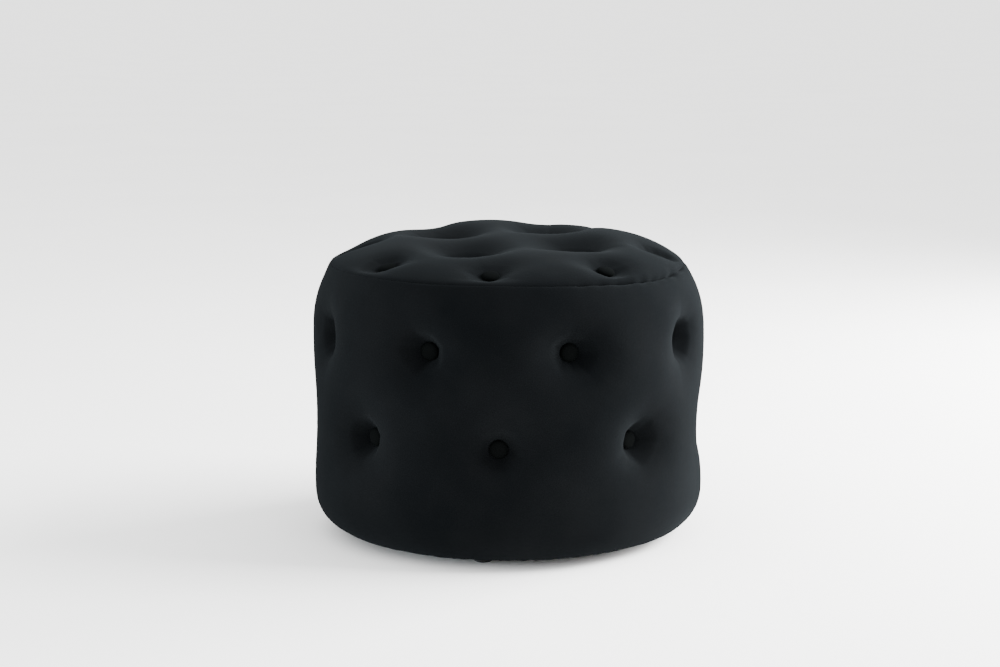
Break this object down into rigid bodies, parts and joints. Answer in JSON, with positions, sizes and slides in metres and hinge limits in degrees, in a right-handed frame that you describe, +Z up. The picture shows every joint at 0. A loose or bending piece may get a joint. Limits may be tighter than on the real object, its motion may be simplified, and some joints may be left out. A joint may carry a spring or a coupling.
{
  "type": "pouf",
  "caption": "Low round pouf with a velvet cover, deep button tufts on top and sides, and low glides under the base.",
  "frame": {"origin": "centre of the drum at the floor, under the glides", "axes": "+Z up along the drum's axis, -Y to the front, +X to the right seen from the front"},
  "size_m": [0.5, 0.5, 0.38],
  "materials": {
    "velvet": "short pile velvet, near black",
    "foam": "open cell foam",
    "plywood": "raw plywood",
    "hardboard": "thin bent hardboard",
    "batten_pine": "planed softwood",
    "zinc_steel": "zinc plated",
    "twine": "waxed twine",
    "washer_plastic": "natural plastic",
    "dust_cloth": "thin nonwoven cloth",
    "glide_plastic": "moulded plastic"
  },
  "bodies": {
    "root": {"base_board": "plywood", "base_screws": "zinc_steel", "drum_wall": "hardboard", "dust_cover": "dust_cloth", "dust_cover_staples": "zinc_steel", "glide_1": "glide_plastic", "glide_2": "glide_plastic", "glide_3": "glide_plastic", "glide_4": "glide_plastic", "glide_nails": "zinc_steel", "lower_side_buttons": "velvet", "lower_side_twines": "twine", "lower_side_washers": "washer_plastic", "side_cover": "velvet", "side_foam": "foam", "top_board": "plywood", "top_buttons": "velvet", "top_cover": "velvet", "top_foam": "foam", "top_screws": "zinc_steel", "top_twines": "twine", "top_washers": "washer_plastic", "upper_side_buttons": "velvet", "upper_side_twines": "twine", "upper_side_washers": "washer_plastic", "upright_1": "batten_pine", "upright_2": "batten_pine", "upright_3": "batten_pine", "upright_4": "batten_pine", "upright_5": "batten_pine", "upright_6": "batten_pine", "upright_7": "batten_pine", "upright_8": "batten_pine"}
  },
  "joints": []
}
